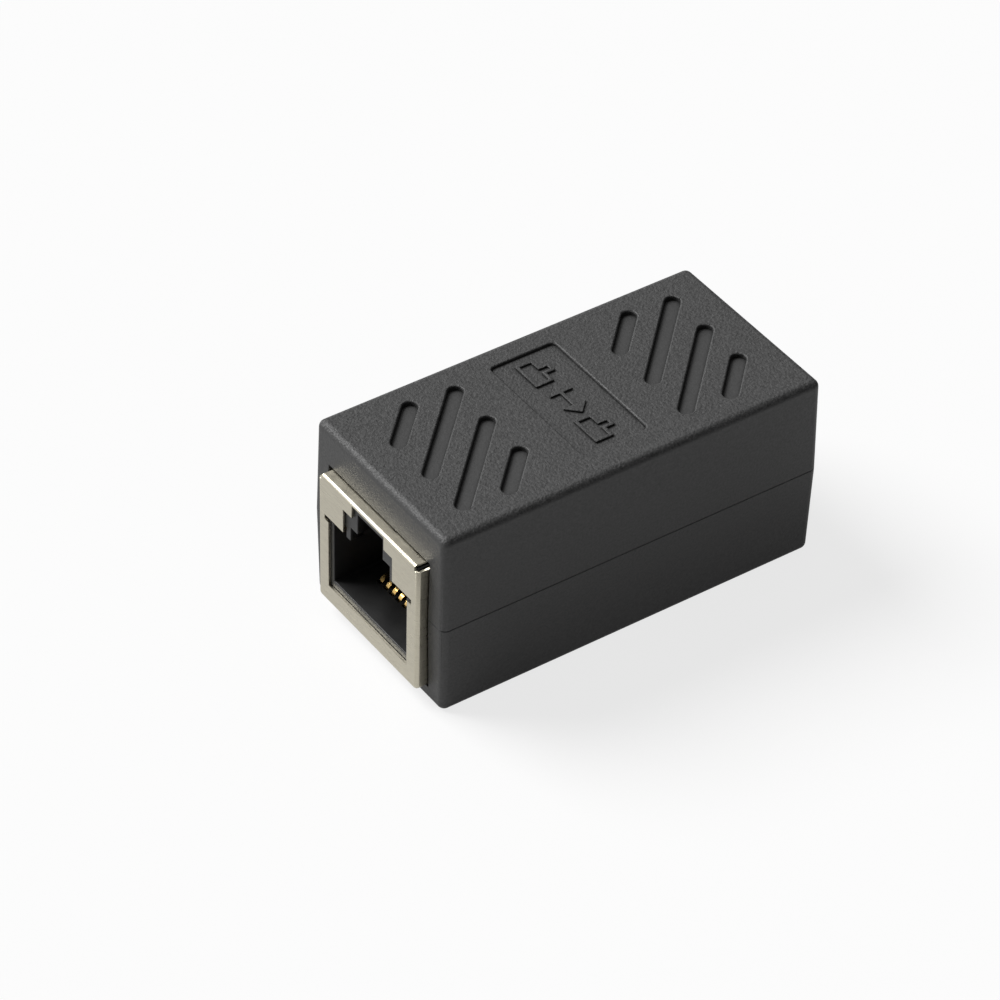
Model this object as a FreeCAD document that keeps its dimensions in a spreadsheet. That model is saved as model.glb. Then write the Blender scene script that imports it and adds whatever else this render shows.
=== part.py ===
import FreeCAD, Part

import math
import os
import re

import Sketcher

# Inline coupler for two eight-way modular plugs. A housing of two moulded halves holds
# two shielded jacks back to back. The jacks hang under one circuit board, so the latch
# side of both ports faces up and the contact wires lie at the bottom of the ports.
#
# Frame: the origin is at the middle of the underside, X runs along the coupler from
# port a (low X) to port b (high X), Y across it and Z up.

document = FreeCAD.newDocument("inline_coupler")
sheet = document.addObject("Spreadsheet::Sheet", "Sizes")

# Driving dimensions, in millimetres and degrees.
SIZES = {
    # housing; half_height is the height of the seam
    "seam_length": 42.2,
    "seam_width": 21.2,
    "half_height": 9.9,
    "wall_draft": 1.0,
    "wall": 1.6,
    "floor_thickness": 1.6,
    "roof_thickness": 1.5,
    "headroom": 1.3,
    "edge_radius": 0.75,
    "seam_chamfer": 0.08,
    "lip_height": 0.8,
    "lip_thickness": 0.7,
    "lip_gap": 0.05,
    "window_gap": 0.1,
    # slanted recesses and label recess of the upper half
    "recess_width": 1.5,
    "recess_depth": 0.5,
    "recess_pitch": 5.15,
    "recess_reach_x": 4.2,
    "recess_reach_y": 7.2,
    "recess_group_x": 12.3,
    "label_length": 7.2,
    "label_width": 14.9,
    "label_place": 0.4,
    "label_depth": 0.3,
    "label_corner": 0.5,
    # alignment pins, board ribs and jack stops
    "boss_room": 0.7,
    "boss_inset": 2.3,
    "boss_radius": 1.8,
    "pin_radius": 1.1,
    "pin_length": 3.0,
    "pin_gap": 0.06,
    "rib_room": 0.9,
    "rib_width": 1.0,
    "rib_reach": 1.2,
    "stop_height": 4.0,
    "stop_thickness": 0.6,
    "stop_width": 7.0,
    # circuit board
    "board_thickness": 1.2,
    "board_gap": 0.15,
    "board_corner": 0.6,
    "waist_gap": 0.3,
    # shield
    "shield_projection": 1.1,
    "side_room": 0.9,
    "shield_depth": 16.4,
    "sheet_metal": 0.25,
    "bend_radius": 0.5,
    "face_opening_width": 12.9,
    "face_opening_low": 2.1,
    "shoulder_height": 9.75,
    "tab_fold_height": 10.3,
    "tab_inner": 4.2,
    "tab_rim": 1.15,
    "tab_length": 2.6,
    "tab_relief": 0.15,
    "step_half_width": 4.0,
    "step_height": 13.0,
    "latch_slot_width": 5.2,
    "corner_relief": 0.55,
    "top_flange": 2.9,
    "rear_flap_gap": 0.4,
    "leg_width": 1.6,
    "leg_front": 5.2,
    "leg_rear": 12.4,
    "leg_proud": 0.9,
    "lug_place": 8.6,
    "lug_width": 2.0,
    "lug_height": 1.8,
    "lug_middle": 6.6,
    "lug_gap": 0.15,
    # jack body
    "fit_gap": 0.05,
    "port_width": 11.9,
    "port_low": 2.85,
    "port_height": 6.85,
    "port_back": 1.2,
    "port_step_width": 6.4,
    "port_step_height": 1.6,
    "port_slot_width": 4.1,
    "latch_room_width": 6.6,
    "latch_room_height": 3.95,
    "latch_back": 1.5,
    "roof_web": 1.0,
    "front_wall": 1.5,
    "cheek": 0.8,
    "floor_web": 0.7,
    "tab_room": 0.3,
    "post_radius": 1.55,
    "post_inset": 2.085,
    "post_place": 6.85,
    "post_proud": 0.5,
    "catch_inset": 2.1,
    # contact carrier and contact wires
    "carrier_front": 3.6,
    "tongue_half_width": 5.2,
    "groove_width": 0.6,
    "groove_depth": 0.8,
    "comb_low": 3.6,
    "comb_height": 2.0,
    "comb_depth": 0.6,
    "wire_pitch": 1.016,
    "wire_width": 0.46,
    "wire_thickness": 0.34,
    "wire_bend": 0.75,
    "wire_heel": 0.4,
    "wire_setback": 0.4,
    "tip_rest": 0.35,
    "wire_tip_height": 5.0,
    "tail_inset": 0.36,
    "tail_rows": 2.54,
    "tail_proud": 0.8,
    "hole_radius": 0.45,
    "hole_gap": 0.12,
    # solder
    "solder_radius": 0.72,
    "solder_height": 0.55,
    "solder_bevel": 0.3,
    "solder_skirt": 0.35,
}

for row, (alias, size) in enumerate(SIZES.items(), start=1):
    sheet.set(f"A{row}", alias)
    sheet.set(f"B{row}", str(size))
    sheet.setAlias(f"B{row}", alias)
document.recompute()

# Places that follow from the driving dimensions. Distances that end in _u are measured
# inwards from the face of port a, and heights from the underside of the housing.
PLACES = {
    "inner_length": "seam_length - 2 * wall",
    "inner_width": "seam_width - 2 * wall",
    "mouth": "seam_length / 2 + shield_projection",
    "shield_low": "floor_thickness",
    "shield_top": "latch_roof + roof_web + fit_gap",
    "shield_side": "inner_width / 2 - side_room",
    "shield_inside": "shield_side - sheet_metal",
    "board_low": "shield_top",
    "board_top": "board_low + board_thickness",
    "ceiling": "board_top + headroom",
    "roof": "ceiling + roof_thickness",
    "board_half_length": "inner_length / 2 - board_gap",
    "board_half_width": "inner_width / 2 - board_gap",
    "jack_rear": "mouth - shield_depth",
    "body_low": "shield_low + sheet_metal + fit_gap",
    "body_top": "shield_top - fit_gap",
    "body_side": "shield_inside - fit_gap",
    "body_front_u": "sheet_metal + fit_gap",
    "body_rear_u": "shield_depth - sheet_metal - fit_gap",
    "port_floor": "shield_low + port_low",
    "port_roof": "port_floor + port_height",
    "port_side": "port_width / 2",
    "step_roof": "port_roof + port_step_height",
    "latch_roof": "port_roof + latch_room_height",
    "tail_second": "body_rear_u - tail_inset",
    "tail_first": "tail_second - tail_rows",
    "port_depth": "tail_first - port_back",
    "latch_room_depth": "port_depth - latch_back",
    "post_side": "body_side - post_inset",
    "tab_outer": "shield_side - tab_rim",
    "catch_place": "body_rear_u - catch_inset",
    "tongue_top": "port_floor - floor_web - fit_gap",
    "groove_floor": "tongue_top - groove_depth",
    "wire_run": "groove_floor + groove_depth / 2",
    "carrier_side": "body_side - cheek - fit_gap",
    "wire_front": "carrier_front + wire_setback",
    "wire_tip": "port_depth + tip_rest",
    "tip_height": "shield_low + wire_tip_height",
    "boss_x": "jack_rear - boss_room - boss_radius",
    "boss_y": "inner_width / 2 - boss_inset",
    "rib_x": "mouth - leg_rear + leg_width / 2 + rib_room + rib_width / 2",
    "waist_half_length": "boss_x + boss_radius + waist_gap",
    "waist_half_width": "boss_y - boss_radius - waist_gap",
    "leg_top": "board_top + leg_proud",
    "tail_top": "board_top + tail_proud",
}

WORD = re.compile(r"[a-z_]+[a-z]")

# Lengths that differ by less than this are the same.
NEAR = 1e-4


def formula(text):
    """Write a sum of size and place names as an expression on the sheet."""
    def spell(match):
        word = match.group()
        if word in PLACES:
            return "(" + formula(PLACES[word]) + ")"
        if word in SIZES:
            return "Sizes." + word
        return word
    return WORD.sub(spell, str(text))


def value(text):
    """Present value of a sum of size and place names."""
    return float(sheet.evalExpression(formula(text)))


def new_body(label):
    body = document.addObject("PartDesign::Body", "body_" + label)
    body.Label = label
    return body


def origin_plane(body, role):
    return [item for item in body.Origin.OriginFeatures if item.Role == role][0]


def new_sketch(body, name, plane, height="0"):
    """Sketch on one of the body's own origin planes, moved along the plane's normal."""
    sketch = body.newObject("Sketcher::SketchObject", f"{body.Label}_{name}")
    sketch.AttachmentSupport = [(origin_plane(body, plane), "")]
    sketch.MapMode = "FlatFace"
    sketch.setExpression(".AttachmentOffset.Base.z", formula(height))
    return sketch


def link(kind, *arguments):
    return Sketcher.Constraint(kind, *arguments)


def place(edge, end, across, up):
    """The two dimensions that place one point of a sketch from the sketch origin."""
    return [("DistanceX", (-1, 1, edge, end), across), ("DistanceY", (-1, 1, edge, end), up)]


def constrain(sketch, links, dimensions):
    """Add plain links and dimensions in one step, and bind the dimensions to the sheet."""
    sized = [link(kind, *ends, value(size)) for kind, ends, size in dimensions]
    indices = sketch.addConstraint(links + sized)
    for index, (kind, ends, size) in zip(indices[len(links):], dimensions):
        sketch.setExpression(f"Constraints[{index}]", formula(size))


def polygon(sketch, corners):
    """Closed outline through corners, each a pair of sums of size and place names."""
    points = [FreeCAD.Vector(value(across), value(up), 0) for across, up in corners]
    lines = [Part.LineSegment(*ends) for ends in zip(points, points[1:] + points[:1])]
    edges = sketch.addGeometry(lines)
    links = [link("Coincident", before, 2, after, 1)
             for before, after in zip(edges, edges[1:] + edges[:1])]
    dimensions = []
    for edge, (across, up) in zip(edges, corners):
        dimensions += place(edge, 1, across, up)
    constrain(sketch, links, dimensions)


def rectangle(sketch, low_across, high_across, low_up, high_up):
    polygon(sketch, [(low_across, low_up), (high_across, low_up),
                     (high_across, high_up), (low_across, high_up)])


def circle(sketch, across, up, radius):
    centre = FreeCAD.Vector(value(across), value(up), 0)
    edge = sketch.addGeometry(Part.Circle(centre, FreeCAD.Vector(0, 0, 1), value(radius)))
    constrain(sketch, [], place(edge, 3, across, up) + [("Radius", (edge,), radius)])


def octagon(sketch, across, up, radius):
    """Eight-sided outline for small hidden round holes, which saves faces."""
    corners = []
    for step in range(8):
        turn = math.pi / 8 + step * math.pi / 4
        corners.append((f"{across} + {math.cos(turn):.6f} * ({radius})",
                        f"{up} + {math.sin(turn):.6f} * ({radius})"))
    polygon(sketch, corners)


def stadium(sketch, start, end, radius):
    """Slot outline round a centre line from start to end, any way round."""
    start_x, start_y = [value(item) for item in start]
    end_x, end_y = [value(item) for item in end]
    turn = math.atan2(end_y - start_y, end_x - start_x)
    half = value(radius)
    side = FreeCAD.Vector(-math.sin(turn), math.cos(turn), 0) * half
    low = FreeCAD.Vector(start_x, start_y, 0)
    high = FreeCAD.Vector(end_x, end_y, 0)
    normal = FreeCAD.Vector(0, 0, 1)
    quarter = math.pi / 2
    low_end = sketch.addGeometry(Part.ArcOfCircle(
        Part.Circle(low, normal, half), turn + quarter, turn + 3 * quarter))
    right_line = sketch.addGeometry(Part.LineSegment(low - side, high - side))
    high_end = sketch.addGeometry(Part.ArcOfCircle(
        Part.Circle(high, normal, half), turn - quarter, turn + quarter))
    left_line = sketch.addGeometry(Part.LineSegment(high + side, low + side))
    chain = [low_end, right_line, high_end, left_line, low_end]
    constrain(sketch,
              [link("Tangent", before, 2, after, 1) for before, after in zip(chain, chain[1:])],
              place(low_end, 3, *start) + place(high_end, 3, *end)
              + [("Radius", (low_end,), radius)])


def pad(body, sketch, length, up=True):
    feature = body.newObject("PartDesign::Pad", sketch.Name + "_pad")
    feature.Profile = sketch
    feature.setExpression("Length", formula(length))
    feature.Reversed = not up
    document.recompute()
    return feature


def pocket(body, sketch, length, up=False):
    """Cut a sketch out of the body, along or against the sketch normal."""
    before = body.Shape.Volume
    feature = body.newObject("PartDesign::Pocket", sketch.Name + "_pocket")
    feature.Profile = sketch
    feature.setExpression("Length", formula(length))
    feature.Reversed = up
    document.recompute()
    if body.Shape.Volume >= before:
        raise RuntimeError(feature.Name + " removes nothing")
    return feature


def repeat(body, original, axis, length, count):
    """Pattern of a feature in a straight row, along an axis of its own sketch."""
    feature = body.newObject("PartDesign::LinearPattern", original.Name + "_row")
    feature.Originals = [original]
    feature.Direction = (original.Profile[0], [axis])
    feature.setExpression("Length", formula(length))
    feature.Occurrences = count
    body.Tip = feature
    document.recompute()


def mirror(body, original, plane):
    feature = body.newObject("PartDesign::Mirrored", original.Name + "_mirrored")
    feature.Originals = [original]
    feature.MirrorPlane = (origin_plane(body, plane), [""])
    body.Tip = feature
    document.recompute()


def round_edges(body, name, radius, wanted, kind="Fillet"):
    """Fillet or chamfer those edges of the body that wanted accepts."""
    base = body.Tip
    names = [f"Edge{index}" for index, edge in enumerate(base.Shape.Edges, start=1)
             if wanted(edge)]
    feature = body.newObject("PartDesign::" + kind, f"{body.Label}_{name}")
    feature.Base = (base, names)
    feature.setExpression("Radius" if kind == "Fillet" else "Size", formula(radius))
    document.recompute()
    return feature


def lean_walls(body, angle, level, up):
    """Draft the walls of a plain block inwards from its level face at the seam."""
    block = body.Tip
    faces = {f"Face{index}": face for index, face in enumerate(block.Shape.Faces, start=1)}
    walls = [name for name, face in faces.items() if face.BoundBox.ZLength > NEAR]
    seam = [name for name, face in faces.items() if lies_at(level)(face)]
    feature = body.newObject("PartDesign::Draft", body.Label + "_draft")
    feature.Base = (block, walls)
    feature.NeutralPlane = (block, seam)
    feature.setExpression("Angle", formula(angle))
    feature.Reversed = not up
    document.recompute()


def is_upright(edge):
    box = edge.BoundBox
    return box.ZLength > max(box.XLength, box.YLength)


def lies_at(height):
    """Test for edges or faces that lie level at a height."""
    level = value(height)

    def test(item):
        box = item.BoundBox
        return abs(box.ZMin - level) < NEAR and abs(box.ZMax - level) < NEAR
    return test


# Housing: two halves that part at mid height, with drafted walls.

# Two alignment pins, diagonally across the middle of the housing.
BOSS_PLACES = [("boss_x", "-boss_y"), ("-boss_x", "boss_y")]


def shell_block(label, up):
    """Drafted outer block of one half, rounded, chamfered at the seam and hollowed."""
    body = new_body(label)
    height = "roof - half_height" if up else "half_height"
    outline = new_sketch(body, "outline", "XY_Plane", "half_height")
    rectangle(outline, "-seam_length / 2", "seam_length / 2", "-seam_width / 2", "seam_width / 2")
    pad(body, outline, height, up=up)
    lean_walls(body, "wall_draft", "half_height", up)
    outer = lies_at("roof" if up else "0")
    round_edges(body, "corners", "edge_radius", lambda edge: is_upright(edge) or outer(edge))
    round_edges(body, "seam", "seam_chamfer", lies_at("half_height"), kind="Chamfer")
    hollow = new_sketch(body, "hollow", "XY_Plane", "half_height")
    rectangle(hollow, "-inner_length / 2", "inner_length / 2",
              "-inner_width / 2", "inner_width / 2")
    cover = "roof_thickness" if up else "floor_thickness"
    pocket(body, hollow, f"{height} - {cover}", up=up)
    return body


def cut_windows(body, low, high):
    """Opening for the shield through both end walls."""
    window = new_sketch(body, "window", "YZ_Plane", "-seam_length / 2 - window_gap")
    side = "shield_side + window_gap"
    rectangle(window, f"-({side})", side, low, high)
    pocket(body, window, "seam_length + 2 * window_gap", up=True)


def slanted_recesses(body):
    """Four slanted recesses, cut short where they would leave the group's frame."""
    recesses = new_sketch(body, "recesses", "XY_Plane", "roof")
    for step in (1.5, 0.5, -0.5, -1.5):
        shift = f"{step} * recess_pitch"
        start = f"max(-recess_reach_x; -recess_reach_y - {shift})"
        end = f"min(recess_reach_x; recess_reach_y - {shift})"
        stadium(recesses,
                (f"-recess_group_x + {start}", f"{start} + {shift}"),
                (f"-recess_group_x + {end}", f"{end} + {shift}"),
                "recess_width / 2")
    repeat(body, pocket(body, recesses, "recess_depth"), "H_Axis", "2 * recess_group_x", 2)


def is_label_corner(edge):
    """Upright edge at a corner of the label recess."""
    box = edge.BoundBox
    return (is_upright(edge) and box.ZMax > value("roof") - NEAR
            and abs(abs(box.XMin) - value("label_length / 2")) < NEAR
            and abs(abs(box.YMin - value("label_place")) - value("label_width / 2")) < NEAR)


def make_upper_shell():
    body = shell_block("upper_shell", up=True)
    rebate = new_sketch(body, "rebate", "XY_Plane", "half_height")
    reach = "lip_thickness + lip_gap"
    rectangle(rebate, f"-inner_length / 2 - ({reach})", f"inner_length / 2 + {reach}",
              f"-inner_width / 2 - ({reach})", f"inner_width / 2 + {reach}")
    pocket(body, rebate, "lip_height + lip_gap", up=True)
    cut_windows(body, "half_height - window_gap", "shield_top + window_gap")
    bosses = new_sketch(body, "bosses", "XY_Plane", "half_height")
    for across, along in BOSS_PLACES:
        circle(bosses, across, along, "boss_radius")
    pad(body, bosses, "ceiling - half_height")
    sockets = new_sketch(body, "sockets", "XY_Plane", "half_height")
    for across, along in BOSS_PLACES:
        circle(sockets, across, along, "pin_radius + pin_gap")
    pocket(body, sockets, "pin_length + pin_gap", up=True)
    ribs = new_sketch(body, "ribs", "XY_Plane", "board_top")
    for middle in ("-rib_x", "rib_x"):
        for low, high in (("-inner_width / 2", "rib_reach - inner_width / 2"),
                          ("inner_width / 2 - rib_reach", "inner_width / 2")):
            rectangle(ribs, f"{middle} - rib_width / 2", f"{middle} + rib_width / 2", low, high)
    pad(body, ribs, "ceiling - board_top")
    label = new_sketch(body, "label", "XY_Plane", "roof")
    rectangle(label, "-label_length / 2", "label_length / 2",
              "label_place - label_width / 2", "label_place + label_width / 2")
    pocket(body, label, "label_depth")
    round_edges(body, "label_corners", "label_corner", is_label_corner)
    slanted_recesses(body)
    return body


def make_lower_shell():
    body = shell_block("lower_shell", up=False)
    lip = new_sketch(body, "lip", "XY_Plane", "half_height")
    rectangle(lip, "-inner_length / 2 - lip_thickness", "inner_length / 2 + lip_thickness",
              "-inner_width / 2 - lip_thickness", "inner_width / 2 + lip_thickness")
    rectangle(lip, "-inner_length / 2", "inner_length / 2", "-inner_width / 2", "inner_width / 2")
    pad(body, lip, "lip_height")
    cut_windows(body, "shield_low", "half_height + lip_height + window_gap")
    bosses = new_sketch(body, "bosses", "XY_Plane", "floor_thickness")
    for across, along in BOSS_PLACES:
        circle(bosses, across, along, "boss_radius")
    pad(body, bosses, "half_height - floor_thickness")
    pins = new_sketch(body, "pins", "XY_Plane", "half_height")
    for across, along in BOSS_PLACES:
        circle(pins, across, along, "pin_radius")
    pad(body, pins, "pin_length")
    stops = new_sketch(body, "stops", "XY_Plane", "floor_thickness")
    for low, high in (("jack_rear - stop_thickness", "jack_rear"),
                      ("-jack_rear", "stop_thickness - jack_rear")):
        rectangle(stops, low, high, "-stop_width / 2", "stop_width / 2")
    pad(body, stops, "stop_height")
    return body


# Circuit board: waisted beside the alignment pins, drilled for both jacks.

def wire_place(number):
    """Distance of contact wire 1 to 8 from the middle of the port."""
    return f"{number - 4.5} * wire_pitch"


def tail_place(number):
    """Odd wires end in the first row of holes, even ones in the second."""
    return "tail_first" if number % 2 else "tail_second"


# A row of holes or wires is drawn once and repeated: all eight wires of a port, or the
# four that end in the same row of holes.
ALL_WIRES = ("7 * wire_pitch", 8)
ROW_WIRES = ("6 * wire_pitch", 4)


def leg_slots(sketch, grow, jacks):
    """Outlines round the four shield legs of each jack, 1 for port a and -1 for port b."""
    for turned in jacks:
        for leg in ("leg_front", "leg_rear"):
            start = f"{turned} * ({leg} - mouth)"
            reach = f"leg_width / 2 + {grow}"
            for side in (1, -1):
                middle = f"{side} * (shield_side - sheet_metal / 2)"
                deep = f"sheet_metal / 2 + {grow}"
                rectangle(sketch, f"{start} - ({reach})", f"{start} + {reach}",
                          f"{middle} - ({deep})", f"{middle} + {deep}")


def make_circuit_board():
    body = new_body("circuit_board")
    outline = new_sketch(body, "outline", "XY_Plane", "board_low")
    end, side = "board_half_length", "board_half_width"
    neck, waist = "waist_half_length", "waist_half_width"
    quarter = [(end, f"-{side}"), (end, side), (neck, side), (neck, waist)]
    turned = [(f"-{across}", waist if up == waist else up) for across, up in reversed(quarter[2:])]
    corners = quarter + turned + [(f"-{end}", side), (f"-{end}", f"-{side}"),
                                  (f"-{neck}", f"-{side}"), (f"-{neck}", f"-{waist}"),
                                  (neck, f"-{waist}"), (neck, f"-{side}")]
    polygon(outline, corners)
    pad(body, outline, "board_thickness")
    drilled = new_sketch(body, "wire_holes", "XY_Plane", "board_top")
    for turned_place, numbers in ((1, (1, 2)), (-1, (7, 8))):
        for number in numbers:
            octagon(drilled, f"{turned_place} * ({tail_place(number)} - mouth)",
                    f"{turned_place} * ({wire_place(number)})", "hole_radius")
    repeat(body, pocket(body, drilled, "board_thickness"), "V_Axis", *ROW_WIRES)
    holes = new_sketch(body, "post_holes", "XY_Plane", "board_top")
    for turned_place in (1, -1):
        for side_place in (1, -1):
            circle(holes, f"{turned_place} * (post_place - mouth)",
                   f"{side_place} * post_side", "post_radius + hole_gap")
    leg_slots(holes, "hole_gap", [1, -1])
    pocket(body, holes, "board_thickness")
    end_x = value("board_half_length")
    round_edges(body, "corners", "board_corner",
                lambda edge: is_upright(edge) and abs(abs(edge.BoundBox.XMin) - end_x) < NEAR)
    return body


# The pieces of a jack are drawn for port a, whose face looks to low X. The jack at port b
# is the same jack turned half a turn about Z.

def from_face(depth):
    return f"{depth} - mouth"


def mirrored(half):
    """Close an outline from its right half, given from bottom to top."""
    return half + [(f"-({across})", up) for across, up in reversed(half)]


def make_shield(label):
    """Folded sheet box with a pierced face, open towards the board behind its flange."""
    body = new_body(label)
    box = new_sketch(body, "box", "YZ_Plane", "-mouth")
    rectangle(box, "-shield_side", "shield_side", "shield_low", "shield_top")
    pad(body, box, "shield_depth")
    deep = value("shield_depth")
    round_edges(body, "bends", "bend_radius", lambda edge: abs(edge.BoundBox.XLength - deep) < NEAR)
    face_x = value("-mouth")
    round_edges(body, "face_bends", "bend_radius - sheet_metal / 2",
                lambda edge: abs(edge.BoundBox.XMax - face_x) < NEAR)
    inside = new_sketch(body, "inside", "YZ_Plane", from_face("shield_depth"))
    rectangle(inside, "-shield_inside", "shield_inside",
              "shield_low + sheet_metal", "shield_top - sheet_metal")
    pocket(body, inside, "shield_depth - sheet_metal")
    top = new_sketch(body, "board_side", "XY_Plane", "shield_top")
    rectangle(top, from_face("top_flange"), from_face("shield_depth + sheet_metal"),
              "-shield_inside", "shield_inside")
    pocket(body, top, "2 * sheet_metal")
    opening = new_sketch(body, "opening", "YZ_Plane", "-mouth")
    polygon(opening, mirrored([
        ("face_opening_width / 2", "shield_low + face_opening_low"),
        ("face_opening_width / 2", "shield_low + shoulder_height"),
        ("tab_outer + tab_relief", "shield_low + shoulder_height"),
        ("tab_outer + tab_relief", "shield_low + tab_fold_height"),
        ("step_half_width", "shield_low + tab_fold_height"),
        ("step_half_width", "shield_low + step_height"),
        ("latch_slot_width / 2", "shield_low + step_height"),
        ("latch_slot_width / 2", "shield_top - sheet_metal"),
    ]))
    pocket(body, opening, "2 * sheet_metal", up=True)
    relief = new_sketch(body, "relief", "YZ_Plane", "-mouth")
    for side in (1, -1):
        rectangle(relief, f"{side} * (shield_side - corner_relief)",
                  f"{side} * (shield_side + corner_relief)",
                  "shield_top - corner_relief", "shield_top + corner_relief")
    pocket(body, relief, "shield_projection + corner_relief", up=True)
    flap = new_sketch(body, "rear_flap", "YZ_Plane", from_face("shield_depth"))
    rectangle(flap, "rear_flap_gap - shield_inside", "shield_inside - rear_flap_gap",
              "shield_low", "shield_top - rear_flap_gap")
    pad(body, flap, "sheet_metal", up=False)
    tabs = new_sketch(body, "face_tabs", "YZ_Plane", "-mouth")
    for side in (1, -1):
        rectangle(tabs, f"{side} * tab_inner", f"{side} * tab_outer",
                  "shield_low + tab_fold_height", "shield_low + tab_fold_height + sheet_metal")
    pad(body, tabs, "tab_length")
    legs = new_sketch(body, "legs", "XZ_Plane", "-shield_side")
    for leg in ("leg_front", "leg_rear"):
        rectangle(legs, from_face(f"{leg} - leg_width / 2"), from_face(f"{leg} + leg_width / 2"),
                  "shield_top - bend_radius", "leg_top")
    mirror(body, pad(body, legs, "sheet_metal"), "XZ_Plane")
    lugs = new_sketch(body, "lug_windows", "XZ_Plane", "-shield_side - sheet_metal")
    lug_rectangle(lugs, "lug_gap")
    pocket(body, lugs, "2 * (shield_side + sheet_metal)", up=True)
    return body


def lug_rectangle(sketch, grow):
    """Side lug of the jack body, or the shield window round it."""
    rectangle(sketch, from_face(f"lug_place - lug_width / 2 - {grow}"),
              from_face(f"lug_place + lug_width / 2 + {grow}"),
              f"shield_low + lug_middle - lug_height / 2 - {grow}",
              f"shield_low + lug_middle + lug_height / 2 + {grow}")


def groove_sides(number):
    """The two sides of the groove or slot in which a wire lies."""
    middle = wire_place(number)
    return f"{middle} - groove_width / 2", f"{middle} + groove_width / 2"


def make_jack_body(label):
    """Moulded body: stepped port in front, open behind for the contact carrier."""
    body = new_body(label)
    block = new_sketch(body, "block", "YZ_Plane", from_face("body_front_u"))
    rectangle(block, "-body_side", "body_side", "body_low", "body_top")
    pad(body, block, "body_rear_u - body_front_u")
    bay = new_sketch(body, "carrier_bay", "YZ_Plane", from_face("port_depth"))
    rectangle(bay, "cheek - body_side", "body_side - cheek", "body_low - fit_gap",
              "body_top + fit_gap")
    pocket(body, bay, "shield_depth - port_depth", up=True)
    port = new_sketch(body, "port", "YZ_Plane", "-mouth")
    polygon(port, mirrored([
        ("port_side", "port_floor"),
        ("port_side", "port_roof"),
        ("port_step_width / 2", "port_roof"),
        ("port_step_width / 2", "step_roof"),
        ("port_slot_width / 2", "step_roof"),
        ("port_slot_width / 2", "latch_roof"),
    ]))
    pocket(body, port, "body_front_u + front_wall", up=True)
    cavity = new_sketch(body, "cavity", "YZ_Plane", from_face("body_front_u + front_wall"))
    rectangle(cavity, "-port_side", "port_side", "port_floor", "port_roof")
    pocket(body, cavity, "port_depth - body_front_u - front_wall", up=True)
    latch_room = new_sketch(body, "latch_room", "YZ_Plane", from_face("body_front_u + front_wall"))
    rectangle(latch_room, "-latch_room_width / 2", "latch_room_width / 2",
              "port_roof - fit_gap", "latch_roof")
    pocket(body, latch_room, "latch_room_depth - body_front_u - front_wall", up=True)
    tab_rooms = new_sketch(body, "tab_rooms", "YZ_Plane", "-mouth")
    for side in (1, -1):
        rectangle(tab_rooms, f"{side} * (tab_inner - tab_room)", f"{side} * (tab_outer + tab_room)",
                  "port_roof - fit_gap", "shield_low + tab_fold_height + sheet_metal + tab_room")
    pocket(body, tab_rooms, "tab_length + tab_room", up=True)
    tongue_room = new_sketch(body, "tongue_room", "YZ_Plane", from_face("carrier_front - fit_gap"))
    rectangle(tongue_room, "-tongue_half_width - fit_gap", "tongue_half_width + fit_gap",
              "body_low - fit_gap", "tongue_top + fit_gap")
    pocket(body, tongue_room, "port_depth - carrier_front + fit_gap", up=True)
    slots = new_sketch(body, "wire_slots", "XY_Plane", "port_floor + fit_gap")
    rectangle(slots, from_face("carrier_front"), from_face("port_depth + fit_gap"),
              *groove_sides(1))
    repeat(body, pocket(body, slots, "floor_web + 2 * fit_gap"), "V_Axis", *ALL_WIRES)
    seat = new_sketch(body, "flange_seat", "XY_Plane", "body_top + fit_gap")
    rectangle(seat, "-mouth", from_face("top_flange + fit_gap"), "-shield_side", "shield_side")
    pocket(body, seat, "sheet_metal + 2 * fit_gap")
    posts = new_sketch(body, "posts", "XY_Plane", "body_top")
    for side in (1, -1):
        circle(posts, from_face("post_place"), f"{side} * post_side", "post_radius")
    pad(body, posts, "board_top + post_proud - body_top")
    lugs = new_sketch(body, "lugs", "XZ_Plane", "-shield_side")
    lug_rectangle(lugs, "0")
    mirror(body, pad(body, lugs, "shield_side - body_side + fit_gap"), "XZ_Plane")
    catches = new_sketch(body, "catch_windows", "XZ_Plane", "-shield_side")
    catch_rectangle(catches, "lug_gap")
    pocket(body, catches, "2 * shield_side", up=True)
    return body


def catch_rectangle(sketch, grow):
    """Side catch of the contact carrier, or the jack body's window round it."""
    rectangle(sketch, from_face(f"catch_place - lug_width / 2 - {grow}"),
              from_face(f"catch_place + lug_width / 2 + {grow}"),
              f"shield_low + lug_middle - lug_height / 2 - {grow}",
              f"shield_low + lug_middle + lug_height / 2 + {grow}")


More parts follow.
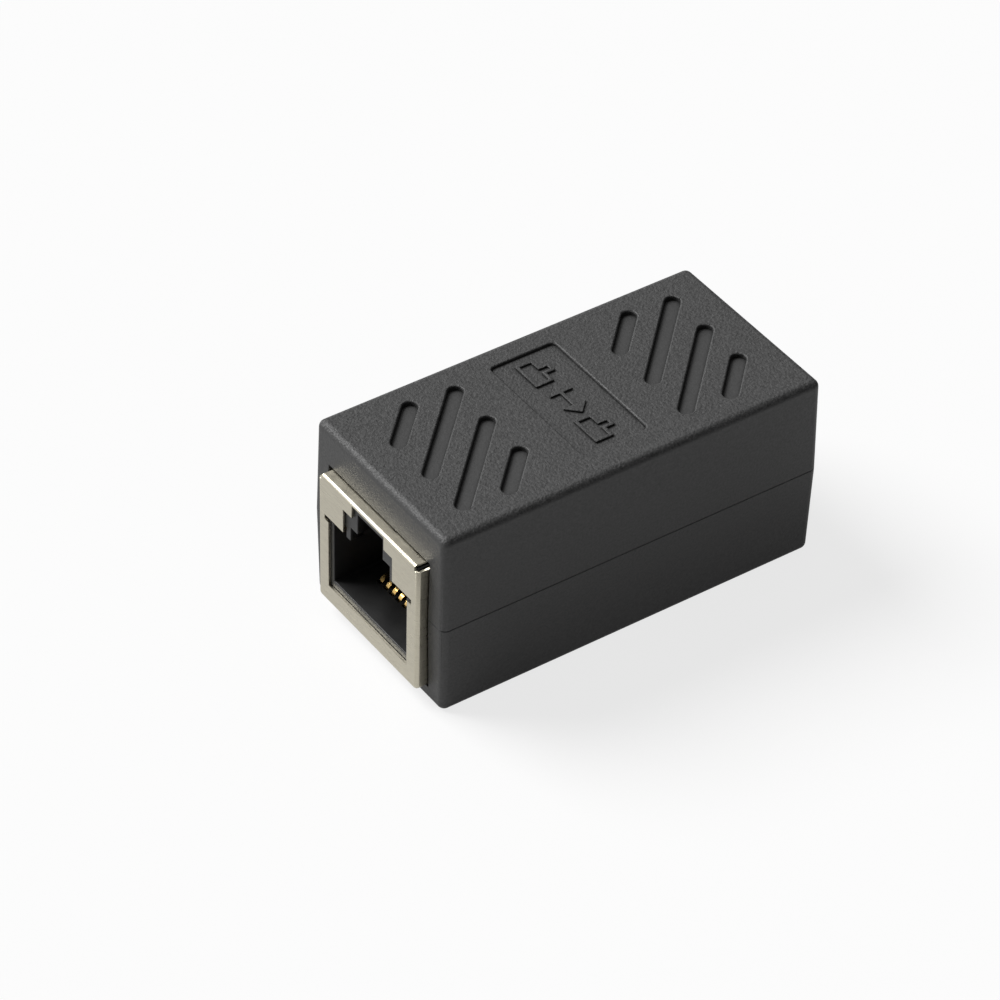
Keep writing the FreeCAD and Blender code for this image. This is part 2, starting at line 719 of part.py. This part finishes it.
def make_contact_carrier(label):
    """Insert behind the port: a tongue under the port floor and a comb for the tails."""
    body = new_body(label)
    block = new_sketch(body, "block", "YZ_Plane", from_face("port_depth + fit_gap"))
    rectangle(block, "-carrier_side", "carrier_side", "body_low", "body_top")
    pad(body, block, "body_rear_u - port_depth - fit_gap")
    tongue = new_sketch(body, "tongue", "YZ_Plane", from_face("carrier_front"))
    rectangle(tongue, "-tongue_half_width", "tongue_half_width", "body_low", "tongue_top")
    pad(body, tongue, "port_depth - carrier_front + 2 * fit_gap")
    run = new_sketch(body, "run_grooves", "YZ_Plane", from_face("carrier_front - fit_gap"))
    rectangle(run, *groove_sides(1), "groove_floor", "tongue_top")
    repeat(body, pocket(body, run, "shield_depth - carrier_front", up=True), "H_Axis", *ALL_WIRES)
    tails = new_sketch(body, "tail_grooves", "XY_Plane", "body_top + fit_gap")
    for number in (1, 2):
        rectangle(tails, from_face(f"{tail_place(number)} - groove_width / 2"),
                  from_face("shield_depth"), *groove_sides(number))
    repeat(body, pocket(body, tails, "body_top + fit_gap - groove_floor"), "V_Axis", *ROW_WIRES)
    comb = new_sketch(body, "tip_comb", "YZ_Plane", from_face("port_depth"))
    rectangle(comb, *groove_sides(1), "tip_height - comb_low", "tip_height + comb_height")
    repeat(body, pocket(body, comb, "comb_depth + fit_gap", up=True), "H_Axis", *ALL_WIRES)
    catches = new_sketch(body, "catches", "XZ_Plane", "-body_side")
    catch_rectangle(catches, "0")
    mirror(body, pad(body, catches, "body_side - carrier_side + fit_gap"), "XZ_Plane")
    return body


def make_contact(label, number):
    """Sprung wire: tip in the comb, bend at the front, run under the port, tail upwards."""
    body = new_body(label)
    path = new_sketch(body, "path", "XZ_Plane", f"-({wire_place(number)})")
    bend = value("wire_bend")
    tip = FreeCAD.Vector(value(from_face("wire_tip")), value("tip_height"), 0)
    nose = FreeCAD.Vector(value(from_face("wire_front + wire_bend")), value("wire_run") + bend, 0)
    heel = FreeCAD.Vector(value(from_face(tail_place(number))), value("wire_run"), 0)
    cut = value("wire_heel")
    reach = tip - nose
    slope = math.atan2(reach.y, reach.x) - math.asin(bend / reach.Length)
    leave = nose + FreeCAD.Vector(-math.sin(slope), math.cos(slope), 0) * bend
    corners = [FreeCAD.Vector(nose.x, heel.y, 0), heel - FreeCAD.Vector(cut, 0, 0),
               heel + FreeCAD.Vector(0, cut, 0), FreeCAD.Vector(heel.x, value("tail_top"), 0)]
    spring = path.addGeometry(Part.LineSegment(tip, leave))
    front = path.addGeometry(Part.ArcOfCircle(
        Part.Circle(nose, FreeCAD.Vector(0, 0, 1), bend), slope + math.pi / 2, 1.5 * math.pi))
    run, mitre, tail = [path.addGeometry(Part.LineSegment(*ends))
                        for ends in zip(corners, corners[1:])]
    constrain(path,
              [link("Tangent", spring, 2, front, 1), link("Tangent", front, 2, run, 1),
               link("Coincident", run, 2, mitre, 1), link("Coincident", mitre, 2, tail, 1)],
              place(spring, 1, from_face("wire_tip"), "tip_height")
              + place(front, 3, from_face("wire_front + wire_bend"), "wire_run + wire_bend")
              + [("Radius", (front,), "wire_bend")]
              + place(run, 2, from_face(f"{tail_place(number)} - wire_heel"), "wire_run")
              + place(tail, 1, from_face(tail_place(number)), "wire_run + wire_heel")
              + place(tail, 2, from_face(tail_place(number)), "tail_top"))
    section = new_sketch(body, "section", "XY_Plane", "tail_top")
    middle = wire_place(number)
    centre = from_face(tail_place(number))
    rectangle(section, f"{centre} - wire_thickness / 2", f"{centre} + wire_thickness / 2",
              f"{middle} - wire_width / 2", f"{middle} + wire_width / 2")
    wire = body.newObject("PartDesign::AdditivePipe", label + "_wire")
    wire.Profile = section
    wire.Spine = path
    wire.Transition = "Right corner"
    document.recompute()
    return body


def make_solder(label):
    """Solder fillets of one jack, on top of the board, round its wires and shield legs."""
    body = new_body(label)
    legs = new_sketch(body, "leg_fillets", "XY_Plane", "board_top")
    leg_slots(legs, "solder_skirt", [1])
    pad(body, legs, "solder_height")
    wires = new_sketch(body, "wire_fillets", "XY_Plane", "board_top")
    holes = new_sketch(body, "wire_holes", "XY_Plane", "board_top")
    for number in (1, 2):
        across, along = from_face(tail_place(number)), wire_place(number)
        octagon(wires, across, along, "solder_radius")
        rectangle(holes, f"{across} - wire_thickness / 2", f"{across} + wire_thickness / 2",
                  f"{along} - wire_width / 2", f"{along} + wire_width / 2")
    repeat(body, pad(body, wires, "solder_height"), "V_Axis", *ROW_WIRES)
    round_edges(body, "slopes", "solder_bevel", lies_at("board_top + solder_height"),
                kind="Chamfer")
    repeat(body, pocket(body, holes, "solder_height", up=True), "V_Axis", *ROW_WIRES)
    leg_holes = new_sketch(body, "leg_holes", "XY_Plane", "board_top")
    leg_slots(leg_holes, "0", [1])
    pocket(body, leg_holes, "solder_height", up=True)
    return body


PORTS = {"a": 0.0, "b": 180.0}


def main():
    bodies = [make_upper_shell(), make_lower_shell(), make_circuit_board()]
    for port, turn in PORTS.items():
        jack = [make_shield("shield_" + port), make_jack_body("jack_body_" + port),
                make_contact_carrier("contact_carrier_" + port)]
        jack += [make_contact(f"contact_{port}{number}", number) for number in range(1, 9)]
        jack.append(make_solder("solder_" + port))
        for body in jack:
            body.Placement = FreeCAD.Placement(
                FreeCAD.Vector(0, 0, 0), FreeCAD.Rotation(FreeCAD.Vector(0, 0, 1), turn))
        bodies += jack
    document.recompute()
    for item in document.Objects:
        if "Invalid" in item.State or "Error" in item.State:
            raise RuntimeError(item.Name + " failed")
    os.makedirs("parts", exist_ok=True)
    for body in bodies:
        if body.Shape.isNull() or not body.Shape.isValid():
            raise RuntimeError(body.Label + " has no valid shape")
        body.Shape.exportStep(os.path.join("parts", body.Label + ".step"))
        print(body.Label, len(body.Shape.Solids), round(body.Shape.Volume, 2))


main()
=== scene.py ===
import math

import bpy
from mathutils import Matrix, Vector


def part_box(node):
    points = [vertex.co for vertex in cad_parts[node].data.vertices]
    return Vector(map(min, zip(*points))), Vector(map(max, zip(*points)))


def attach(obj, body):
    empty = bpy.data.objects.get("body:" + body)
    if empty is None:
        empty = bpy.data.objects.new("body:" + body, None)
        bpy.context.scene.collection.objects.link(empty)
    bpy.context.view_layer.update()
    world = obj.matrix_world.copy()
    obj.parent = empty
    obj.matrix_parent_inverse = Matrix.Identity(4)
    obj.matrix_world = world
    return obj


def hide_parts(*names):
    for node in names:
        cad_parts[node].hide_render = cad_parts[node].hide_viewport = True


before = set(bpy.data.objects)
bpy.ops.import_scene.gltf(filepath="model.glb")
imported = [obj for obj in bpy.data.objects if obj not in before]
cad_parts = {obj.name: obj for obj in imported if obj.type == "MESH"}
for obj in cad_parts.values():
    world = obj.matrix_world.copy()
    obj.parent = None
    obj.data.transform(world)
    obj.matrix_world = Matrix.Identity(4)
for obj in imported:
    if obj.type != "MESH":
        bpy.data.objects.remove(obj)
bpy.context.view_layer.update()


# Circuit board. A small glass fibre board joins the eight wires of one jack to those of
# the other. It is cut from laminate, printed with green mask and pressed over the posts.

def new_material(name):
    """Empty node material with its shader and its Object coordinates."""
    material = bpy.data.materials.new(name)
    material.use_nodes = True
    tree = material.node_tree
    tree.nodes.clear()
    output = tree.nodes.new("ShaderNodeOutputMaterial")
    shader = tree.nodes.new("ShaderNodeBsdfPrincipled")
    place = tree.nodes.new("ShaderNodeTexCoord")
    tree.links.new(shader.outputs["BSDF"], output.inputs["Surface"])
    return material, tree, shader, place.outputs["Object"]


def grey(level):
    """Colour without a tint."""
    return (level, level, level)


def noise(tree, place, size, detail=3.0, rough=0.55):
    """Cloudy pattern whose lumps are about size metres across."""
    cloud = tree.nodes.new("ShaderNodeTexNoise")
    cloud.inputs["Scale"].default_value = 1.0 / size
    cloud.inputs["Detail"].default_value = detail
    cloud.inputs["Roughness"].default_value = rough
    tree.links.new(place, cloud.inputs["Vector"])
    return cloud.outputs["Fac"]


def ramp(tree, source, stops, target):
    """Colours at given places along a pattern, sent to one input of a shader."""
    bar = tree.nodes.new("ShaderNodeValToRGB")
    tree.links.new(source, bar.inputs["Fac"])
    points = bar.color_ramp.elements
    while len(points) < len(stops):
        points.new(0.5)
    for point, (where, colour) in zip(points, stops):
        point.position = where
        point.color = (*colour, 1.0)
    tree.links.new(bar.outputs["Color"], target)


def bump(tree, height, shader, depth):
    """Relief of depth metres from a pattern."""
    relief = tree.nodes.new("ShaderNodeBump")
    relief.inputs["Distance"].default_value = depth
    tree.links.new(height, relief.inputs["Height"])
    tree.links.new(relief.outputs["Normal"], shader.inputs["Normal"])


def dress(name, material):
    """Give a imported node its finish."""
    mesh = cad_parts[name].data
    mesh.materials.clear()
    mesh.materials.append(material)


board_mask, tree, shader, place = new_material("green_mask")
weave = noise(tree, place, 0.0009)
ramp(tree, weave, [(0.35, (0.012, 0.085, 0.035)), (0.7, (0.02, 0.13, 0.05))],
     shader.inputs["Base Color"])
shader.inputs["Roughness"].default_value = 0.38
bump(tree, weave, shader, 0.00002)
dress("circuit_board", board_mask)


# Contact wires. Eight sprung wires in each jack are bent from phosphor bronze and plated
# with gold. The carrier holds them side by side, and their tails enter the board.

gold, tree, shader, place = new_material("gold_plate")
wipe = noise(tree, place, 0.0006)
ramp(tree, wipe, [(0.3, (0.72, 0.45, 0.14)), (0.75, (0.86, 0.6, 0.24))],
     shader.inputs["Base Color"])
ramp(tree, wipe, [(0.3, grey(0.2)), (0.8, grey(0.34))], shader.inputs["Roughness"])
shader.inputs["Metallic"].default_value = 1.0
for port in "ab":
    for number in range(1, 9):
        dress(f"contact_{port}{number}", gold)


# Contact carriers and jack bodies. Both are injection moulded in black polyester, a
# harder and smoother plastic than the housing, and they click together before soldering.

near = 0.00001
mouth_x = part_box("jack_body_b")[1].x
mouth_rim = 0.00008


def flat_faces(piece):
    """Smooth shading that leaves the large faces flat beside their rounded edges."""
    bpy.ops.object.shade_smooth_by_angle(angle=math.radians(40.0))
    level = piece.modifiers.new("level", "WEIGHTED_NORMAL")
    level.mode = "FACE_AREA"
    level.weight = 100
    level.keep_sharp = True
    bpy.ops.object.modifier_apply(modifier="level")


def broken_edges(name, source, material, rounds):
    """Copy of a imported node, its triangles joined, with a radius on each chosen sharp edge."""
    piece = bpy.data.objects.new(name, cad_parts[source].data.copy())
    bpy.context.scene.collection.objects.link(piece)
    bpy.ops.object.select_all(action="DESELECT")
    piece.select_set(True)
    bpy.context.view_layer.objects.active = piece
    bpy.ops.object.mode_set(mode="EDIT")
    bpy.ops.mesh.select_mode(type="EDGE")
    bpy.ops.mesh.select_all(action="SELECT")
    bpy.ops.mesh.remove_doubles(threshold=0.000002)
    bpy.ops.mesh.dissolve_limited(angle_limit=math.radians(0.4))
    for radius, wanted in rounds:
        bpy.ops.mesh.select_all(action="DESELECT")
        bpy.ops.mesh.edges_select_sharp(sharpness=math.radians(35.0))
        bpy.ops.object.mode_set(mode="OBJECT")
        corners = piece.data.vertices
        chosen = [edge.index for edge in piece.data.edges
                  if edge.select and wanted(*[corners[end].co for end in edge.vertices])]
        bpy.ops.object.mode_set(mode="EDIT")
        bpy.ops.mesh.select_all(action="DESELECT")
        bpy.ops.object.mode_set(mode="OBJECT")
        for index in chosen:
            piece.data.edges[index].select = True
        bpy.ops.object.mode_set(mode="EDIT")
        bpy.ops.mesh.bevel(offset=radius, segments=3, affect="EDGES", clamp_overlap=False)
    bpy.ops.object.mode_set(mode="OBJECT")
    flat_faces(piece)
    piece.data.materials.clear()
    piece.data.materials.append(material)
    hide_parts(source)
    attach(piece, "root")


def at_the_mouth(start, end):
    """Edges in the front face of a jack body, and the long ones of its port."""
    return max(abs(start.x), abs(end.x)) > mouth_x - near


jack_black, tree, shader, place = new_material("jack_black")
flow = noise(tree, place, 0.0025)
ramp(tree, flow, [(0.3, grey(0.011)), (0.75, grey(0.017))], shader.inputs["Base Color"])
ramp(tree, flow, [(0.3, grey(0.4)), (0.8, grey(0.52))], shader.inputs["Roughness"])
bump(tree, noise(tree, place, 0.00012), shader, 0.000004)
for port in "ab":
    dress("contact_carrier_" + port, jack_black)
    broken_edges("body_" + port, "jack_body_" + port, jack_black,
                 [(mouth_rim, at_the_mouth)])


# Shields. Each is one sheet of copper alloy, punched, folded round the jack body and
# plated with nickel, which leaves a warm grey with fine rolling lines.

face_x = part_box("shield_b")[1].x
face_rim = 0.00005


def on_the_face(start, end):
    """Edges of the pierced face, outside."""
    return min(abs(start.x), abs(end.x)) > face_x - near


nickel, tree, shader, place = new_material("nickel_plate")
stretch = tree.nodes.new("ShaderNodeMapping")
stretch.inputs["Scale"].default_value = (1.0, 1.0, 12.0)
tree.links.new(place, stretch.inputs["Vector"])
rolled = noise(tree, stretch.outputs["Vector"], 0.0012, detail=5.0)
ramp(tree, rolled, [(0.3, (0.47, 0.44, 0.355)), (0.75, (0.57, 0.535, 0.435))],
     shader.inputs["Base Color"])
ramp(tree, rolled, [(0.3, grey(0.26)), (0.8, grey(0.4))], shader.inputs["Roughness"])
shader.inputs["Metallic"].default_value = 1.0
bump(tree, rolled, shader, 0.000006)
for port in "ab":
    broken_edges("can_" + port, "shield_" + port, nickel,
                 [(face_rim, on_the_face)])


# Solder. A fillet of bright tin holds each wire and each shield leg to the board. The
# fillets are left by one pass over a wave of solder and are a little frosted.

tin, tree, shader, place = new_material("tin_solder")
frost = noise(tree, place, 0.0005)
ramp(tree, frost, [(0.3, grey(0.55)), (0.75, grey(0.72))], shader.inputs["Base Color"])
ramp(tree, frost, [(0.3, grey(0.25)), (0.8, grey(0.45))], shader.inputs["Roughness"])
shader.inputs["Metallic"].default_value = 1.0
for port in "ab":
    dress("solder_" + port, tin)


# Housing halves. Two injection mouldings in black styrene plastic, with a fine spark
# eroded grain on every outer face. Pins line them up and the seam is welded.

roof_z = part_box("upper_shell")[1].z
label_floor = roof_z - 0.0003
slot_floor = roof_z - 0.0005
roof_rim = 0.00018
wall_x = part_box("upper_shell")[1].x - 0.0003
window_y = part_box("shield_b")[1].y + 0.0002
window_rim = 0.00008
grain_size = 0.00024
grain_depth = 0.00009


def mapped(tree, source, low, high, start=0.0, end=1.0):
    """Number that runs from low to high as the source runs from start to end."""
    span = tree.nodes.new("ShaderNodeMapRange")
    span.inputs["From Min"].default_value = start
    span.inputs["From Max"].default_value = end
    span.inputs["To Min"].default_value = low
    span.inputs["To Max"].default_value = high
    tree.links.new(source, span.inputs["Value"])
    return span.outputs["Result"]


def combined(tree, operation, first, second):
    """Result of one sum on two values, the second of which may be a plain number."""
    step = tree.nodes.new("ShaderNodeMath")
    step.operation = operation
    tree.links.new(first, step.inputs[0])
    if isinstance(second, float):
        step.inputs[1].default_value = second
    else:
        tree.links.new(second, step.inputs[1])
    return step.outputs["Value"]


def openness(tree, reach):
    """Painted shade factor from ambient occlusion: one on an open surface, and less beside a
    wall that is closer than reach.
    """
    corner = tree.nodes.new("ShaderNodeAmbientOcclusion")
    corner.samples = 8
    corner.inputs["Distance"].default_value = reach
    return mapped(tree, corner.outputs["AO"], 0.3, 1.0, 0.3, 0.95)


def round_the_recesses(start, end):
    """Rims of the slanted recesses and of the label recess, in the plane of the roof."""
    return min(start.z, end.z) > roof_z - near


def round_the_window(start, end):
    """Rims of the openings for the shields in the end walls."""
    return min(abs(start.x), abs(end.x)) > wall_x and max(abs(start.y), abs(end.y)) < window_y


grain_black, tree, shader, place = new_material("grain_black")
axes = tree.nodes.new("ShaderNodeSeparateXYZ")
tree.links.new(place, axes.inputs["Vector"])
height = axes.outputs["Z"]

# The grain is coarse on the roof and the label floor, and finer on the floors of the
# slanted recesses and below them.
pits = combined(tree, "SUBTRACT", noise(tree, place, grain_size, detail=2.0, rough=0.6), 0.5)
coarse = mapped(tree, height, 0.3, 1.0, slot_floor + 0.00005, label_floor - 0.00002)
grain = combined(tree, "ADD", combined(tree, "MULTIPLY", pits, coarse), 0.5)

# Painted shade: ambient occlusion darkens the colour in the corners of the recesses and makes
# them duller, and nothing below the recesses is darkened.
shade = combined(tree, "MULTIPLY", openness(tree, 0.0003), openness(tree, 0.0014))
below = mapped(tree, height, 1.0, 0.0, slot_floor - 0.0002, slot_floor - 0.0001)
grain_under_painted_shade = combined(tree, "MULTIPLY", grain, combined(tree, "MAXIMUM", shade, below))
ramp(tree, grain_under_painted_shade, [(0.1, grey(0.007)), (0.3, grey(0.021)), (0.7, grey(0.067))],
     shader.inputs["Base Color"])
ramp(tree, grain_under_painted_shade, [(0.1, grey(0.95)), (0.3, grey(0.62)), (0.7, grey(0.46))],
     shader.inputs["Roughness"])
bump(tree, grain, shader, grain_depth)

broken_edges("lower_half", "lower_shell", grain_black,
             [(window_rim, round_the_window)])
broken_edges("upper_half", "upper_shell", grain_black,
             [(roof_rim, round_the_recesses), (window_rim, round_the_window)])


# Moulded sign. The label recess carries a plain sign for a joined pair of ports: two
# port outlines with a double arrow between them, raised in the mould with the housing.

label_middle = 0.0004
port_reach = 0.0047
sign_height = 0.00022
sign_root = 0.00003
sign_rim = 0.00008
stroke = 0.00036


def new_sheet():
    """Flat square of nine faces, one metre wide, just under the label floor."""
    bpy.ops.object.select_all(action="DESELECT")
    bpy.ops.mesh.primitive_grid_add(x_subdivisions=3, y_subdivisions=3, size=1.0,
                                    location=(0.0, 0.0, label_floor - sign_root))
    return bpy.context.object


def cut_away(sheet, unwanted):
    """Delete the faces whose centre is unwanted, and leave the rest selected in edit mode."""
    bpy.ops.object.mode_set(mode="EDIT")
    bpy.ops.mesh.select_all(action="DESELECT")
    bpy.ops.object.mode_set(mode="OBJECT")
    for face in sheet.data.polygons:
        face.select = unwanted(abs(face.center.y), face.center.x)
    bpy.ops.object.mode_set(mode="EDIT")
    bpy.ops.mesh.select_mode(type="FACE")
    bpy.ops.mesh.delete(type="FACE")
    bpy.ops.mesh.select_all(action="SELECT")


def raise_flat(sheet):
    """Thicken a flat outline upwards from just under the label floor and round it."""
    bpy.ops.object.mode_set(mode="EDIT")
    bpy.ops.mesh.select_all(action="SELECT")
    bpy.ops.mesh.extrude_region_move(
        TRANSFORM_OT_translate={"value": (0.0, 0.0, sign_height + sign_root)})
    bpy.ops.mesh.select_all(action="SELECT")
    bpy.ops.mesh.normals_make_consistent(inside=False)
    bpy.ops.object.mode_set(mode="OBJECT")
    edge = sheet.modifiers.new("edge", "BEVEL")
    edge.width = sign_rim
    edge.segments = 2
    edge.limit_method = "ANGLE"
    bpy.ops.object.modifier_apply(modifier="edge")


def port_outline(across, width, depth):
    """Outline of a port and its upper notch: a sheet without two corners, as a stroke."""
    sheet = new_sheet()
    cut_away(sheet, lambda aside, up: aside > 0.2 and up > 0.2)
    bpy.ops.transform.resize(value=(depth, width, 1.0), center_override=(0.0, 0.0, label_floor))
    bpy.ops.transform.translate(value=(0.0, across, 0.0))
    bpy.ops.mesh.dissolve_limited(angle_limit=math.radians(1.0))
    bpy.ops.mesh.inset(thickness=stroke, use_boundary=True)
    bpy.ops.mesh.delete(type="FACE")
    bpy.ops.object.mode_set(mode="OBJECT")
    raise_flat(sheet)
    return sheet


def double_arrow(across, length, head):
    """Bar along Y whose two ends are drawn out sideways and brought to a point."""
    sheet = new_sheet()
    half = length / 2.0
    rows = {-3: -half, -1: head - half, 1: half - head, 3: half}
    columns = {-3: -head, -1: -stroke / 2.0, 1: stroke / 2.0, 3: head}
    for vertex in sheet.data.vertices:
        row = round(vertex.co.y * 6)
        column = round(vertex.co.x * 6)
        vertex.co.x = 0.0 if abs(row) == 3 else columns[column]
        vertex.co.y = rows[row]
    cut_away(sheet, lambda aside, up: abs(up) > stroke and aside < half - head)
    bpy.ops.mesh.remove_doubles(threshold=near)
    bpy.ops.mesh.dissolve_limited(angle_limit=math.radians(1.0))
    bpy.ops.transform.translate(value=(0.0, across, 0.0))
    bpy.ops.object.mode_set(mode="OBJECT")
    raise_flat(sheet)
    return sheet


sign_parts = [port_outline(label_middle - port_reach, width=0.0036, depth=0.003),
              port_outline(label_middle + port_reach, width=0.0036, depth=0.003),
              double_arrow(label_middle, length=0.0046, head=0.0013)]
bpy.ops.object.select_all(action="DESELECT")
for part in sign_parts:
    part.select_set(True)
bpy.context.view_layer.objects.active = sign_parts[0]
bpy.ops.object.join()
sign = bpy.context.object
sign.name = "port_sign"
bpy.ops.object.transform_apply(location=True, rotation=True, scale=True)
flat_faces(sign)
sign.data.materials.clear()
sign.data.materials.append(grain_black)
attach(sign, "root")


# Stage. A pale floor under soft studio light, with a white surround. The floor glows a
# little, so that it meets the surround without an edge and still takes the shadow.

floor_size = 0.28
floor_drop = 0.00002
floor_glow = 1.07
glow_share = 0.72
floor_in_gloss = 0.42
sky_fill = 0.12
bright_side = (-0.5, 0.72, 0.48)


def seen_directly(tree, share):
    """One for rays from the camera and through glass, and a share of it for gloss."""
    path = tree.nodes.new("ShaderNodeLightPath")
    gloss = combined(tree, "MULTIPLY", path.outputs["Is Glossy Ray"], share)
    straight = combined(tree, "MAXIMUM", path.outputs["Is Camera Ray"],
                        path.outputs["Is Transmission Ray"])
    return combined(tree, "MAXIMUM", straight, gloss)


floor_white, tree, shader, place = new_material("floor_white")
ramp(tree, noise(tree, place, 0.05), [(0.3, grey(0.8)), (0.7, grey(0.81))],
     shader.inputs["Base Color"])
shader.inputs["Roughness"].default_value = 0.9
shader.inputs["Specular IOR Level"].default_value = 0.1
glow = tree.nodes.new("ShaderNodeEmission")
glow.inputs["Strength"].default_value = floor_glow
blend = tree.nodes.new("ShaderNodeMixShader")
lit = mapped(tree, seen_directly(tree, floor_in_gloss), 0.0, glow_share)
tree.links.new(lit, blend.inputs["Fac"])
tree.links.new(shader.outputs["BSDF"], blend.inputs[1])
tree.links.new(glow.outputs["Emission"], blend.inputs[2])
surface = [node for node in tree.nodes if node.type == "OUTPUT_MATERIAL"][0]
tree.links.new(blend.outputs["Shader"], surface.inputs["Surface"])

bpy.ops.object.select_all(action="DESELECT")
bpy.ops.mesh.primitive_plane_add(size=floor_size, location=(0.0, 0.0, -floor_drop))
floor = bpy.context.object
floor.name = "floor"
floor.data.materials.append(floor_white)

# The surround is white to the eye and a weak fill for the rest. Gloss sees it brighten
# towards the upper back left, where the large soft lamp stands.
world = bpy.data.worlds.new("studio")
bpy.context.scene.world = world
world.use_nodes = True
air = world.node_tree
air.nodes.clear()
sky = air.nodes.new("ShaderNodeBackground")
sky.inputs["Color"].default_value = (1.0, 1.0, 1.0, 1.0)
sky_end = air.nodes.new("ShaderNodeOutputWorld")
bearing = air.nodes.new("ShaderNodeTexCoord")
toward = air.nodes.new("ShaderNodeVectorMath")
toward.operation = "DOT_PRODUCT"
toward.inputs[1].default_value = bright_side
air.links.new(bearing.outputs["Generated"], toward.inputs[0])
sky_in_gloss = mapped(air, toward.outputs["Value"], 0.0, 1.4, 0.1, 1.0)
strength = mapped(air, seen_directly(air, sky_in_gloss), sky_fill, 1.0)
air.links.new(strength, sky.inputs["Strength"])
air.links.new(sky.outputs["Background"], sky_end.inputs["Surface"])

key = bpy.data.lights.new("key", "SUN")
key.energy = 3.35
key.angle = math.radians(34.0)
key_stand = bpy.data.objects.new("key", key)
bpy.context.scene.collection.objects.link(key_stand)
key_stand.rotation_euler = (math.radians(-36.0), math.radians(-26.0), 0.0)

eye = bpy.data.cameras.new("photo_camera")
eye.lens = 163.9
eye.sensor_width = 36.0
eye.clip_start = 0.01
camera = bpy.data.objects.new("photo_camera", eye)
bpy.context.scene.collection.objects.link(camera)
camera.location = (-0.19306, -0.258701, 0.281759)
camera.rotation_euler = [math.radians(turn) for turn in (49.691, -1.204, -34.612)]
bpy.context.scene.camera = camera
bpy.context.scene.view_settings.view_transform = "Standard"
